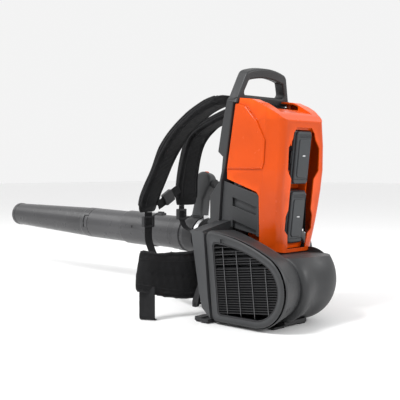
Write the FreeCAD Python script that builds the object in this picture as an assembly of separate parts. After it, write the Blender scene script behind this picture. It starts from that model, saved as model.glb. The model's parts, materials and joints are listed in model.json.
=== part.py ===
import FreeCAD, Part
import math
import os

# Backpack leaf blower with two batteries. Millimetres.
# +X is the wearer's right, +Y the way the wearer faces, +Z up. The origin is on the ground,
# on the middle plane of the back frame. The air tube points forward on the right side.

V = FreeCAD.Vector
AXIS_X = V(1, 0, 0)
AXIS_Y = V(0, 1, 0)
AXIS_Z = V(0, 0, 1)
GAP = 0.3  # clearance between neighbouring mouldings
WALL = 3.0  # moulded wall
FOOT_H = 3.0  # rubber foot height

# Fan unit: its axis is parallel to X
FAN_Y, FAN_Z = -38.0, 88.0
FACE_X, SEAM_X = -184.0, -104.0
IMPELLER_R, HUB_R, INLET_R = 50.0, 28.0, 52.0
# The fan housing is a row of circles: x, centre y, centre z, radius
HOUSING = [
    (SEAM_X + GAP, -52.0, 88.0, 69.5),
    (-60.0, -44.0, 94.0, 86.0),
    (-20.0, -38.0, 98.0, 94.5),
    (0.0, -38.0, 98.0, 95.0),
    (25.0, -38.0, 98.0, 88.0),
    (45.0, -38.0, 98.0, 70.4),
    (60.0, -38.0, 98.0, 42.0),
    (66.0, -38.0, 98.0, 15.0),
]
SCROLL_CIRCLE = (-38.0, 98.0, 42.0)  # where the passage to the neck starts
SCROLL_X, NECK_X = (26.0, 62.0), 46.0
SADDLE, SADDLE_Z = 48.0, 152.0  # right side and floor of the space cut for the cover
IMPELLER_X = (-94.0, -52.0)
MOTOR_R, MOTOR_X = 38.0, (-34.0, 36.0)
SHAFT_R, BEARING_R = 5.0, 13.0
BLADES, VANES, VANE_R = 9, 7, 56.0

# Intake housing outline, seen from the side: a straight leaning front, an arched top and a
# round rear, whose arc is (centre y, centre z, radius) at the face and at the seam
FRONT_FOOT = (64.0, 3.0)
FRONT_LEAN = 0.108
FRONT_TOP_Z = 209.0
FACE_ARC = (-60.0, 88.0, 85.0)
SEAM_ARC = (-53.0, 88.0, 70.0)
ARC_END = math.radians(117)
GRILLE_INSET, GRILLE_T = 19.0, 9.0
SLAT_TILT = 6.2  # the grille's slats are square to the leaning front edge
SLAT_PITCH, SLAT_T, RIBS = 5.3, 1.5, 4

# Outlet and air tube
OUTLET = V(78.0, 48.0, 150.0)
NECK_R, SPIGOT_R, DUCT_R = 49.0, 44.0, 41.0
ELBOW_R, TUBE_R, TUBE_WALL = 52.0, 46.5, 2.4
TUBE_DIR = V(-0.0213, 1.0, 0.0285)
TUBE_DIR.normalize()
BELLOWS_S = (10.0, 282.0)
BELLOWS_R, FOLD_DEPTH, FOLDS = 50.0, 6.0, 17
PIPE_S, COLLAR_S, MID_S = (288.0, 520.0), (462.0, 580.0), (521.0, 742.0)
NOZZLE_S, NOZZLE_TIP_R, MOUTH_R = (738.0, 1164.0), 37.0, 33.5
TWIST = 30  # degrees the nozzle turns to lock onto its pins

# Control handle, on top of the tube
HANDLE_S, HANDLE_HALF = 304.0, 17.0
HANDLE_ROLL = 11.0  # degrees the handle leans out to the right round the tube

# Upper body
HALF_W = 98.0  # outside of the frame's side members
COVER_TILT = 6.5
BATTERY_HALF, BATTERY_H, BATTERY_Y = 31.0, 121.0, (-44.5, 62.0)
BATTERY_Z = (309.5, 172.5)
LEAN_AXIS = V(0, -46, 300)  # the bay leans about this line
BAY_HALF, BAY_Y, BAY_Z = 34.0, (-33.0, 68.5), (160.0, 440.0)

COVER_CORNER = 14.0
# Sections of the cover: z, rear half width, rear y, side half width, side y
COVER_STATIONS = [
    (150, 50.5, -32, 88, 4),
    (175, 59.5, -34, 88.5, 4),
    (212, 69, -38, 89, 3),
    (250, 76, -42, 90, 2),
    (295, 81, -47, 91, 1),
    (342, 82, -52.5, 91.5, -8),
    (400, 79, -55, 91.5, -11),
    (450, 73.5, -55, 91.5, -14),
    (520, 70, -58, 91.5, -16),
]

# Harness
PAD_HALF_T = 7.5
LEFT_PAD_X, RIGHT_PAD_X = (-109.0, -36.0), (36.0, 103.0)
WEBBING_T = 2.0
LEFT_HIP_Z, RIGHT_HIP_Z = (50.0, 159.0), (64.0, 162.0)


def save(shape, name):
    """Write one node, and stop if any of its solids is broken."""
    if not shape.isValid() or not shape.Solids:
        raise ValueError(name + " is not a valid solid")
    compound = shape if len(shape.Solids) > 1 else shape.Solids[0]
    compound.exportStep("parts/" + name + ".step")
    print(name, len(shape.Solids), round(shape.Volume / 1000.0, 1), "cm3")


def box(x, y, z):
    """Box from three (low, high) pairs."""
    return Part.makeBox(x[1] - x[0], y[1] - y[0], z[1] - z[0], V(x[0], y[0], z[0]))


def cylinder(start, direction, radius, length):
    return Part.makeCylinder(radius, length, start, direction)


def ring(start, direction, outer, inner, length):
    return cylinder(start, direction, outer, length).cut(cylinder(start, direction, inner, length))


def polygon(corners):
    return Part.Face(Part.makePolygon(corners + corners[:1]))


def prism_x(points, x):
    """Extrude a (y, z) outline along X."""
    return polygon([V(x[0], y, z) for y, z in points]).extrude(V(x[1] - x[0], 0, 0))


def prism_y(points, y):
    """Extrude an (x, z) outline along Y."""
    return polygon([V(a, y[0], z) for a, z in points]).extrude(V(0, y[1] - y[0], 0))


def prism_z(points, z):
    """Extrude an (x, y) outline along Z."""
    return polygon([V(a, b, z[0]) for a, b in points]).extrude(V(0, 0, z[1] - z[0]))


def fused(shapes):
    """Fuse shapes and merge the faces that lie in one surface."""
    whole = shapes[0]
    for shape in shapes[1:]:
        whole = whole.fuse(shape)
    return whole.removeSplitter()


def fillet(shape, radius, chosen):
    """Round the edges for which chosen(edge) is true."""
    edges = [edge for edge in shape.Edges if chosen(edge)]
    return shape.makeFillet(radius, edges)


def along(direction):
    """Edge test: a straight edge parallel to a direction."""

    def test(edge):
        if not isinstance(edge.Curve, Part.Line):
            return False
        return edge.Curve.Direction.cross(direction).Length < 1e-3

    return test


def in_plane(axis, value):
    """Edge test: an edge that lies in the plane where one coordinate has this value."""

    def test(edge):
        low = (edge.BoundBox.XMin, edge.BoundBox.YMin, edge.BoundBox.ZMin)[axis]
        high = (edge.BoundBox.XMax, edge.BoundBox.YMax, edge.BoundBox.ZMax)[axis]
        return abs(low - value) < 0.01 and abs(high - value) < 0.01

    return test


def revolved(points, origin, direction):
    """Solid of revolution of a closed (radius, distance) outline about an axis."""
    solid = polygon([V(r, 0, s) for r, s in points]).revolve(V(0, 0, 0), AXIS_Z, 360)
    solid.Placement = FreeCAD.Placement(origin, FreeCAD.Rotation(AXIS_Z, direction))
    return solid


def mirrored(shape):
    return shape.mirror(V(0, 0, 0), AXIS_X)


def both_sides(shape):
    return Part.makeCompound([shape, mirrored(shape)])


def smooth_edge(points):
    curve = Part.BSplineCurve()
    curve.interpolate(points)
    return curve.toShape()


def band(centre, half, place, spread):
    """A soft strap: a curved centre line thickened by half, extruded sideways by spread."""
    upper, lower = [], []
    for i, (a, b) in enumerate(centre):
        before = centre[max(i - 1, 0)]
        after = centre[min(i + 1, len(centre) - 1)]
        length = math.hypot(after[0] - before[0], after[1] - before[1])
        na = -(after[1] - before[1]) / length * half
        nb = (after[0] - before[0]) / length * half
        upper.append(place(a + na, b + nb))
        lower.append(place(a - na, b - nb))
    edges = [
        smooth_edge(upper),
        Part.makeLine(upper[-1], lower[-1]),
        smooth_edge(lower[::-1]),
        Part.makeLine(lower[0], upper[0]),
    ]
    return Part.Face(Part.Wire(edges)).extrude(spread)


def side_band(centre, half, x):
    return band(centre, half, lambda y, z: V(x[0], y, z), V(x[1] - x[0], 0, 0))


def plan_band(centre, half, z):
    return band(centre, half, lambda a, y: V(a, y, z[0]), V(0, 0, z[1] - z[0]))


def tilted(shape):
    """Lean the battery bay and what is in it with the rear of the cover."""
    turned = shape.copy()
    turned.rotate(LEAN_AXIS, AXIS_X, COVER_TILT)
    return turned


# ---------------------------------------------------------------- fan unit


def fan_point(x):
    return V(x, FAN_Y, FAN_Z)


def intake_outline(inset, x, taper=0.0):
    """The D-shaped outline of the intake, from the face (taper 0) to the seam (taper 1)."""
    cy, cz, radius = [f + (g - f) * taper for f, g in zip(FACE_ARC, SEAM_ARC)]
    radius -= inset

    def front(z):
        return FRONT_FOOT[0] - 1.2 * inset + FRONT_LEAN * (z - FRONT_FOOT[1])

    top_z = FRONT_TOP_Z - 1.3 * inset
    end = V(x, cy + radius * math.cos(ARC_END), cz + radius * math.sin(ARC_END))
    top = V(x, front(top_z), top_z)
    inward = V(0, -math.cos(ARC_END), -math.sin(ARC_END))
    across = top - end
    reach = across.dot(across) / (2 * across.dot(inward))
    centre = end + inward * reach
    half_way = (end + top) * 0.5 - centre
    half_way.normalize()
    base = V(x, cy, cz - radius)
    corner = V(x, front(base.z), base.z)
    edges = [Part.makeLine(base, corner), Part.makeLine(corner, top)]
    edges.append(Part.Arc(top, centre + half_way * reach, end).toShape())
    edges.append(Part.Arc(end, V(x, cy - radius, cz), base).toShape())
    return Part.Wire(edges)


def front_edges(edge):
    """Edge test: the two long edges at the front of the intake."""
    size = edge.BoundBox
    return size.XLength > 1 and size.YMin > 20 and size.YLength < 30 and size.ZLength < 30


def intake_solid(inset, x, corner):
    """Straight extrusion of the intake's face outline, with rounded front corners."""
    solid = Part.Face(intake_outline(inset, x[0])).extrude(V(x[1] - x[0], 0, 0))
    return fillet(solid, corner, front_edges)


def intake_taper(inset, corner):
    """The intake's body, which narrows from its face to the seam."""
    wires = [intake_outline(inset, FACE_X + inset), intake_outline(inset, SEAM_X, 1.0)]
    return fillet(Part.makeLoft(wires, True, True), corner, front_edges)


def intake_housing():
    outer = fillet(intake_taper(0, 16), 10, in_plane(0, FACE_X))
    cavity = intake_taper(WALL, 13).cut(box((SEAM_X - 4, SEAM_X + 1), (-200, 200), (-10, 260)))
    window = intake_solid(GRILLE_INSET, (FACE_X - 1, FACE_X + 5), 8)
    inlet = cylinder(fan_point(SEAM_X - 5), AXIS_X, INLET_R, 6)
    notch = box((FACE_X - 1, FACE_X + 2.5), (24, 36), (182, 191))
    shell = outer.cut(cavity).cut(window).cut(inlet).cut(notch)
    pockets = []
    for y, z in ((-137.0, 116.0), (-131.0, 50.0)):
        boss = cylinder(V(FACE_X + 14, y, z), AXIS_X, 11, 66).common(intake_taper(0.5, 16))
        shell = shell.fuse(boss)
        pockets.append(cylinder(V(FACE_X + 20, y, z), AXIS_X, 6, 90))
    return shell.cut(Part.makeCompound(pockets)).removeSplitter()


def intake_grille():
    """Louvred panel in the intake, with thin upright ribs across the louvres."""
    inset = GRILLE_INSET + GAP
    x0 = FACE_X + 0.8
    blank = intake_solid(inset, (x0, x0 + GRILLE_T), 7.5)
    hole = intake_solid(inset + 3, (FACE_X, FACE_X + GRILLE_T + 2), 5)
    middle_z = 100.0
    bars = []
    for i in range(-16, 18):
        z = middle_z + i * SLAT_PITCH
        corners = [(x0 + 0.6, z - 2.2), (x0 + 7.6, z + 2.2), (x0 + 7.6, z + 2.2 + SLAT_T)]
        corners.append((x0 + 0.6, z - 2.2 + SLAT_T))
        bars.append(prism_y(corners, (-170, 110)))
    for i in range(RIBS):
        y = -94 + i * 38.5
        bars.append(box((x0 - 0.7, x0 + 4), (y, y + 1.6), (-10, 240)))
    bars = Part.makeCompound(bars)
    bars.rotate(V(0, -20, middle_z), AXIS_X, -SLAT_TILT)
    inside = intake_solid(inset + 2, (x0 - 0.7, FACE_X + GRILLE_T + 0.7), 5.5)
    return blank.cut(hole).multiFuse(bars.common(inside).Solids).removeSplitter()


def housing_body(inset):
    """The fan housing's outer form: a drum that swells into a scroll on the right."""
    wires = []
    for x, y, z, radius in HOUSING:
        wires.append(Part.Wire([Part.Circle(V(x, y, z), AXIS_X, radius - inset).toShape()]))
    return Part.makeLoft(wires, True, False)


def scroll(inset, x):
    """The passage from the scroll up to the outlet neck: the hull of two circles."""
    scroll_y, scroll_z, scroll_r = SCROLL_CIRCLE
    scroll_r -= inset
    neck_r = NECK_R - inset
    dy = OUTLET.y - scroll_y
    dz = OUTLET.z - scroll_z
    heading = math.atan2(dz, dy)
    spread = math.acos((scroll_r - neck_r) / math.hypot(dy, dz))
    corners = []
    for cy, cz, r, side in (
        (scroll_y, scroll_z, scroll_r, 1),
        (OUTLET.y, OUTLET.z, neck_r, 1),
        (OUTLET.y, OUTLET.z, neck_r, -1),
        (scroll_y, scroll_z, scroll_r, -1),
    ):
        turn = heading + side * spread
        corners.append((cy + r * math.cos(turn), cz + r * math.sin(turn)))
    return prism_x(corners, x)


def cover_pocket(margin):
    """The space cut from the top of the drum for the battery cover and the bay."""
    return box((SEAM_X - 6, SADDLE + margin), (-160, 88), (SADDLE_Z - margin, 300))


def fan_housing():
    neck_x = (NECK_X, OUTLET.x)
    neck = cylinder(V(neck_x[0], OUTLET.y, OUTLET.z), AXIS_X, NECK_R, neck_x[1] - neck_x[0])
    outer = fused([housing_body(0), neck, scroll(0, SCROLL_X)])
    inner_scroll = scroll(5, (SCROLL_X[0], SCROLL_X[1] - 4))
    bore_start = V(neck_x[0] + 4, OUTLET.y, OUTLET.z)
    bore = cylinder(bore_start, AXIS_X, SPIGOT_R + 0.1, neck_x[1] - neck_x[0])
    mouth = cylinder(fan_point(SEAM_X), AXIS_X, HOUSING[0][3] - WALL, 6)
    air = fused([housing_body(WALL), inner_scroll, mouth]).cut(cover_pocket(GAP + WALL))
    shell = outer.cut(cover_pocket(GAP)).cut(air).cut(bore)
    for z in (113, 90, 72):
        shell = shell.cut(cylinder(V(28.5, -117.0 + abs(z - 98) * 0.1, z), V(0.57, -0.82, 0), 5, 30))
    return max(shell.Solids, key=lambda solid: solid.Volume)


def diffuser():
    """Fixed vanes that hold the motor in the middle of the drum."""
    x0, x1 = MOTOR_X[0] + 4, MOTOR_X[1] - 22
    hub = ring(fan_point(x0), AXIS_X, MOTOR_R + 6, MOTOR_R + 3.2, x1 - x0)
    vanes = []
    for i in range(VANES):
        vane = box((x0, x1 - 6), (FAN_Y - 1.2, FAN_Y + 1.2), (FAN_Z + MOTOR_R + 5, FAN_Z + VANE_R))
        vane.rotate(fan_point(0), AXIS_X, i * 360.0 / VANES)
        vanes.append(vane)
    rim = ring(fan_point(x0), AXIS_X, VANE_R + 2, VANE_R - 1, x1 - x0 - 6)
    return fused([hub, rim] + vanes)


def motor_can():
    can = cylinder(fan_point(MOTOR_X[0]), AXIS_X, MOTOR_R + 3, MOTOR_X[1] - MOTOR_X[0])
    hollow = cylinder(fan_point(MOTOR_X[0] + 3), AXIS_X, MOTOR_R, MOTOR_X[1] - MOTOR_X[0] - 6)
    hole = cylinder(fan_point(MOTOR_X[0] - 1), AXIS_X, BEARING_R + 0.05, 5)
    seat = ring(fan_point(MOTOR_X[1] - 11), AXIS_X, BEARING_R + 3, BEARING_R + 0.05, 8)
    return fused([can.cut(hollow).cut(hole), seat])


def motor_stator():
    core = ring(fan_point(-20), AXIS_X, MOTOR_R - 0.5, 24, 36)
    slots = []
    for i in range(12):
        slot = box((-21, 17), (FAN_Y - 2.2, FAN_Y + 2.2), (FAN_Z + 23, FAN_Z + 33))
        slot.rotate(fan_point(0), AXIS_X, i * 30)
        slots.append(slot)
    return core.cut(Part.makeCompound(slots))


def motor_rotor():
    return ring(fan_point(-18), AXIS_X, 23.3, SHAFT_R + GAP / 10, 32)


def motor_shaft():
    return cylinder(fan_point(-104), AXIS_X, SHAFT_R, 136)


def bearings():
    outer = BEARING_R
    inner = SHAFT_R + 0.05
    front = ring(fan_point(MOTOR_X[0] - 4), AXIS_X, outer, inner, 7)
    rear = ring(fan_point(MOTOR_X[1] - 11), AXIS_X, outer, inner, 7)
    return Part.makeCompound([front, rear])


def impeller():
    x0, x1 = IMPELLER_X
    hub = revolved(
        [(SHAFT_R + 0.03, x0), (12, x0), (20, x0 + 10), (HUB_R, x0 + 24), (HUB_R, x1), (SHAFT_R + 0.03, x1)],
        fan_point(0),
        AXIS_X,
    )
    blades = []
    for i in range(BLADES):
        root = Part.makePolygon(
            [V(x0 + 6, FAN_Y - 9, FAN_Z + 10), V(x0 + 9, FAN_Y - 9, FAN_Z + 10)]
            + [V(x1 - 3, FAN_Y + 9, FAN_Z + 10), V(x1 - 6, FAN_Y + 9, FAN_Z + 10)]
            + [V(x0 + 6, FAN_Y - 9, FAN_Z + 10)]
        )
        tip = Part.makePolygon(
            [V(x0 + 2, FAN_Y - 19, FAN_Z + IMPELLER_R), V(x0 + 4, FAN_Y - 19, FAN_Z + IMPELLER_R)]
            + [V(x1 - 4, FAN_Y + 17, FAN_Z + IMPELLER_R), V(x1 - 6, FAN_Y + 17, FAN_Z + IMPELLER_R)]
            + [V(x0 + 2, FAN_Y - 19, FAN_Z + IMPELLER_R)]
        )
        blade = Part.makeLoft([root, tip], True, True)
        blade = blade.cut(cylinder(fan_point(x0), AXIS_X, 10, x1 - x0))
        blade.rotate(fan_point(0), AXIS_X, i * 360.0 / BLADES)
        blades.append(blade)
    whole = fused([hub] + blades)
    limit = cylinder(fan_point(x0), AXIS_X, IMPELLER_R, x1 - x0)
    bore = cylinder(fan_point(x0 - 1), AXIS_X, SHAFT_R + 0.03, x1 - x0 + 2)
    return whole.common(limit).cut(bore)


def fan_nut():
    corners = []
    for i in range(6):
        turn = math.radians(60 * i)
        corners.append((FAN_Y + 9 * math.cos(turn), FAN_Z + 9 * math.sin(turn)))
    nut = prism_x(corners, (IMPELLER_X[0] - 8.0, IMPELLER_X[0] - 0.1))
    return nut.cut(motor_shaft())


# ---------------------------------------------------------------- outlet and air tube


def elbow_turn():
    """Centre line of the elbow: its arc and its end point."""
    across = TUBE_DIR - AXIS_X * TUBE_DIR.dot(AXIS_X)
    across.normalize()
    angle = math.acos(TUBE_DIR.dot(AXIS_X))

    def at(turn):
        return OUTLET + AXIS_X * (ELBOW_R * math.sin(turn)) + across * (ELBOW_R * (1 - math.cos(turn)))

    return Part.Arc(at(0), at(angle / 2), at(angle)).toShape(), at(angle)


ELBOW_ARC, ELBOW_END = elbow_turn()


def tube_point(s):
    """A point on the air tube's axis, s from the end of the elbow."""
    return ELBOW_END + TUBE_DIR * s


def swept(radius):
    profile = Part.Wire([Part.Circle(OUTLET, AXIS_X, radius).toShape()])
    return Part.Wire([ELBOW_ARC]).makePipeShell([profile], True, False)


def outlet_elbow():
    body = swept(TUBE_R).cut(swept(DUCT_R))
    spigot = ring(OUTLET - AXIS_X * 18, AXIS_X, SPIGOT_R, DUCT_R, 18)
    tail = ring(ELBOW_END, TUBE_DIR, TUBE_R - 2.5, DUCT_R, 16)
    shape = fused([spigot, body, tail])
    clearance = ring(OUTLET - AXIS_X, AXIS_X, TUBE_R + 4, SPIGOT_R, 1 + GAP)
    return shape.cut(clearance)


def bellows():
    """Flexible hose: a corrugated sleeve with a plain cuff at each end."""
    s0, s1 = BELLOWS_S
    cuff = 20.0
    inner = DUCT_R + 3.2
    outer_line = [(inner + 3, s0), (inner + 3, s0 + cuff)]
    inner_line = [(inner, s0), (inner, s0 + cuff)]
    pitch = (s1 - s0 - 2 * cuff) / FOLDS
    for i in range(FOLDS):
        low = s0 + cuff + i * pitch
        crest = low + pitch / 2
        outer_line += [(BELLOWS_R, crest - pitch * 0.2), (BELLOWS_R, crest + pitch * 0.2)]
        outer_line += [(BELLOWS_R - FOLD_DEPTH + 2, low + pitch)]
        inner_line += [(BELLOWS_R - 2, crest - pitch * 0.12), (BELLOWS_R - 2, crest + pitch * 0.12)]
        inner_line += [(BELLOWS_R - FOLD_DEPTH, low + pitch)]
    outer_line += [(inner + 3, s1 - cuff + 1), (inner + 3, s1)]
    inner_line += [(inner, s1 - cuff + 1), (inner, s1)]
    return revolved(outer_line + inner_line[::-1], ELBOW_END, TUBE_DIR)


def clamp_band(s, inner):
    band_ring = ring(tube_point(s), TUBE_DIR, inner + 1.4, inner + GAP, 12)
    ear = box((-4, 4), (s + 1, s + 11), (inner + 0.8, inner + 9))
    return fused([band_ring, on_tube(ear)])


def on_tube(shape):
    """Carry a shape drawn with Y along the tube and Z up from its axis onto the tube."""
    turned = shape.copy()
    frame = FreeCAD.Placement(ELBOW_END, FreeCAD.Rotation(AXIS_Y, TUBE_DIR))
    turned.Placement = frame.multiply(turned.Placement)
    return turned


def base_pipe():
    """Rear pipe: a spigot for the bellows, a plain pipe and the stepped rings of the handle seat."""
    s0, s1 = PIPE_S
    r = TUBE_R
    outside = [(SPIGOT_R, s0 - 24), (SPIGOT_R, s0), (r, s0), (r, s0 + 44), (r + 3.5, s0 + 46)]
    outside += [(r + 3.5, s0 + 66), (r + 1.5, s0 + 68), (r + 1.5, s0 + 92), (r, s0 + 94), (r, s1)]
    inside = [(r - TUBE_WALL, s1), (r - TUBE_WALL, s0 + 8), (DUCT_R, s0), (DUCT_R, s0 - 24)]
    return fused([revolved(outside + inside, ELBOW_END, TUBE_DIR), lock_housing()])


def tube_collar():
    s0, s1 = COLLAR_S
    low, high = TUBE_R + GAP / 3, TUBE_R + 3.2
    outline = [(low, s0), (high - 1, s0), (high, s0 + 2), (high, s1 - 2), (high - 1, s1), (low, s1)]
    collar = revolved(outline, ELBOW_END, TUBE_DIR)
    screw_hole = on_tube(cylinder(V(-60, s0 + 60, 8), AXIS_X, 4, 13))
    return collar.cut(screw_hole)


def lock_button():
    """Sprung button behind the collar that lets the front pipe come off."""
    s = COLLAR_S[0] - 20
    button = box((-6, 6), (s, s + 17), (TUBE_R + 4.2, TUBE_R + 8.2))
    return on_tube(fillet(button, 1.8, along(AXIS_Z)))


def lock_housing():
    s = COLLAR_S[0] - 23.4
    body = box((-9.5, 9.5), (s, s + 23), (TUBE_R - 3, TUBE_R + 5))
    well = box((-6.2, 6.2), (s + 3.2, s + 20.6), (TUBE_R + 1.2, TUBE_R + 9))
    air = cylinder(V(0, s - 5, 0), AXIS_Y, TUBE_R - 1, 40)
    return on_tube(body.cut(well).cut(air))


def mid_tube():
    s0, s1 = MID_S
    r = TUBE_R
    outline = [(r, s0), (r, s1 - 6), (r - 2.6, s1 - 5), (r - 2.6, s1 + 22)]
    outline += [(r - 4.6, s1 + 22), (r - 4.6, s1 - 8), (r - TUBE_WALL, s1 - 14), (r - TUBE_WALL, s0)]
    tube = revolved(outline, ELBOW_END, TUBE_DIR)
    pins = []
    for side in (-1, 1):
        pins.append(on_tube(cylinder(V(side * (r - 4), s1 + 12, 0), AXIS_X * side, 2.6, 4.6)))
    return fused([tube] + pins)


def nozzle():
    """Tapered nozzle whose rear sleeve turns onto two pins in bent slots."""
    s0, s1 = NOZZLE_S
    r = TUBE_R
    tip = NOZZLE_TIP_R
    outline = [(r - 2.5, s0), (r - 0.3, s0), (r, s0 + 1.5), (r, s0 + 30), (r - 1, s0 + 34)]
    outline += [(r - 1.6, s0 + 70), (tip, s1 - 16), (tip + 1.2, s1 - 12), (tip + 1.2, s1 - 1.5)]
    outline += [(tip, s1), (MOUTH_R, s1), (MOUTH_R, s1 - 20), (r - 4.2, s0 + 60), (r - 4.2, s0 + 28)]
    outline += [(r - 2.5, s0 + 27.5)]
    shape = revolved(outline, ELBOW_END, TUBE_DIR)
    pin_s = MID_S[1] + 12
    slots = []
    for side in (0, 180):
        entry = box((r - 6, r + 3), (s0 - 1, pin_s + 3.2), (-3.2, 3.2))
        hook = ring(V(0, pin_s - 3.2, 0), AXIS_Y, r + 3, r - 6, 6.4)
        wedge = prism_y([(0, 0), (70, -3.2), (70, 3.2), (55, 55)], (pin_s - 3.2, pin_s + 3.2))
        slot = entry.fuse(hook.common(wedge))
        slot.rotate(V(0, 0, 0), AXIS_Y, side + TWIST)
        slots.append(on_tube(slot))
    return shape.cut(Part.makeCompound(slots))


# ---------------------------------------------------------------- control handle


def on_handle(shape):
    """As on_tube, and leaned round the tube with the handle."""
    leaned = shape.copy()
    leaned.rotate(V(0, 0, 0), AXIS_Y, HANDLE_ROLL)
    return on_tube(leaned)


def handle_outline():
    """Side outline (s, height above the tube's axis): a grip with a rounded head."""
    s = HANDLE_S
    grip = [V(0, s + 20, 52), V(0, s + 17, 90), V(0, s + 22, 126)]
    head = Part.Arc(V(0, s + 22, 126), V(0, s - 2, 178), V(0, s - 28, 134)).toShape()
    back = [V(0, s - 28, 134), V(0, s - 16, 100), V(0, s - 20, 52)]
    edges = [Part.makeLine(grip[i], grip[i + 1]) for i in range(2)]
    edges.append(head)
    edges += [Part.makeLine(back[i], back[i + 1]) for i in range(2)]
    edges.append(Part.makeLine(back[-1], grip[0]))
    return Part.Face(Part.Wire(edges))


def handle_body():
    face = handle_outline()
    face.translate(V(-HANDLE_HALF, 0, 0))
    solid = face.extrude(V(2 * HANDLE_HALF, 0, 0))
    flats = [e for e in solid.Edges if in_plane(0, -HANDLE_HALF)(e) or in_plane(0, HANDLE_HALF)(e)]
    upright = [e for e in flats if e.BoundBox.ZMin > 52.5 or e.BoundBox.ZLength > 1]
    return solid.makeFillet(6.5, upright)


TRIGGER_PIVOT = V(0, HANDLE_S + 16, 128)


def handle_cavity():
    """Room inside the grip for the switch, and the slot that the trigger moves in."""
    s = HANDLE_S
    inner = box((-8, 8), (s - 8, s + 8), (66, 150))
    slot = box((-7.4, 7.4), (s + 4, s + 40), (84, 138))
    return inner.fuse(slot)


def handle_half(side):
    s = HANDLE_S
    half = box((0, 40) if side > 0 else (-40, 0), (s - 60, s + 60), (40, 200))
    shell = handle_body().common(half).cut(handle_cavity())
    dial_well = cylinder(V(0, s - 10, 146), V(0, -1, 0), 9.4, 30)
    button_well = cylinder(V(0, s - 1, 156), AXIS_Z, 6.3, 40)
    return on_handle(shell.cut(dial_well).cut(button_well))


def handle_clamp():
    s = HANDLE_S - 8
    hoop = ring(V(0, s - 14, 0), AXIS_Y, TUBE_R + 3.4, TUBE_R + 0.15, 36)
    saddle = box((-15, 15), (s - 14, s + 30), (TUBE_R - 4, 51.7))
    pipe = cylinder(V(0, s - 40, 0), AXIS_Y, TUBE_R + 0.15, 90)
    ears = box((-6, 6), (s - 10, s + 18), (-TUBE_R - 13, -TUBE_R - 1))
    split = box((-1.5, 1.5), (s - 20, s + 30), (-TUBE_R - 20, -TUBE_R + 2))
    return on_handle(fused([hoop, saddle.cut(pipe), ears.cut(pipe)]).cut(split))


def trigger():
    s = HANDLE_S
    profile = [(s + 9, 124), (s + 16, 132), (s + 24, 130), (s + 34, 112), (s + 31, 96), (s + 25, 90)]
    profile += [(s + 26, 100), (s + 24, 112), (s + 15, 118)]
    lever = prism_x(profile, (-7, 7))
    lever = fillet(lever, 2, along(AXIS_X))
    return on_handle(lever.cut(cylinder(V(-10, TRIGGER_PIVOT.y, TRIGGER_PIVOT.z), AXIS_X, 2.05, 20)))


def trigger_pin():
    return on_handle(cylinder(V(-7.3, TRIGGER_PIVOT.y, TRIGGER_PIVOT.z), AXIS_X, 2.0, 14.6))


def speed_switch():
    s = HANDLE_S
    body = box((-7, 7), (s - 7.5, s + 2.5), (90, 118))
    return on_handle(body.fuse(box((-3, 3), (s + 2.5, s + 5), (98, 104))).removeSplitter())


def speed_dial():
    s = HANDLE_S
    knob = cylinder(V(0, s - 34, 146), V(0, -1, 0), 12.5, 9)
    knob = fillet(knob, 2, lambda e: isinstance(e.Curve, Part.Circle) and e.CenterOfMass.y < s - 39)
    stem = cylinder(V(0, s - 12, 146), V(0, -1, 0), 9.2, 23)
    dimples = []
    for i in range(14):
        turn = math.radians(i * 360 / 14)
        at = V(13.4 * math.cos(turn), s - 33, 146 + 13.4 * math.sin(turn))
        dimples.append(cylinder(at, V(0, -1, 0), 1.7, 12))
    return on_handle(knob.fuse(stem).cut(Part.makeCompound(dimples)))


def stop_button():
    s = HANDLE_S
    button = cylinder(V(0, s - 1, 158), AXIS_Z, 6.0, 22)
    return on_handle(fillet(button, 1.5, in_plane(2, 180)))


# ---------------------------------------------------------------- upper body

SPINE_SIDE = [(63, 509), (92, 509), (97, 500), (113, 436), (123, 385), (108, 373), (112, 340)]
SPINE_SIDE += [(118, 318), (149, 281), (149, 229), (158, 219), (126, 205), (120.5, 206)]
SPINE_SIDE += [(111.5, 316), (100, 352), (75, 503)]


def arched(half_low, z_low, half_top, z_top, crown, y):
    """A plate outline with straight sides and an arched top, extruded along Y."""
    corners = [V(-half_low, y[0], z_low), V(-half_top, y[0], z_top)]
    corners += [V(half_top, y[0], z_top), V(half_low, y[0], z_low)]
    edges = [Part.makeLine(corners[0], corners[1])]
    edges.append(Part.Arc(corners[1], V(0, y[0], crown), corners[2]).toShape())
    edges.append(Part.makeLine(corners[2], corners[3]))
    edges.append(Part.makeLine(corners[3], corners[0]))
    return Part.Face(Part.Wire(edges)).extrude(V(0, y[1] - y[0], 0))


def carry_handle():
    """The hoop at the top of the frame, leaning back with the side members."""
    y = (62.0, 91.0)
    upright = along(AXIS_Y)
    outer = arched(HALF_W + 1, 499, 72, 571, 583, y)
    outer = fillet(outer, 20, lambda e: e.BoundBox.ZMin > 560 and e.BoundBox.ZLength < 0.01)
    hole = arched(77, 517, 62, 552, 560, y)
    hole = fillet(hole, 8, upright)
    hoop = outer.cut(hole)
    hoop = fillet(hoop, 5, lambda e: e.BoundBox.ZMin > 518 and e.BoundBox.YLength < 0.01)
    hoop.rotate(V(0, 77, 516), AXIS_X, 10)
    return hoop


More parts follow.
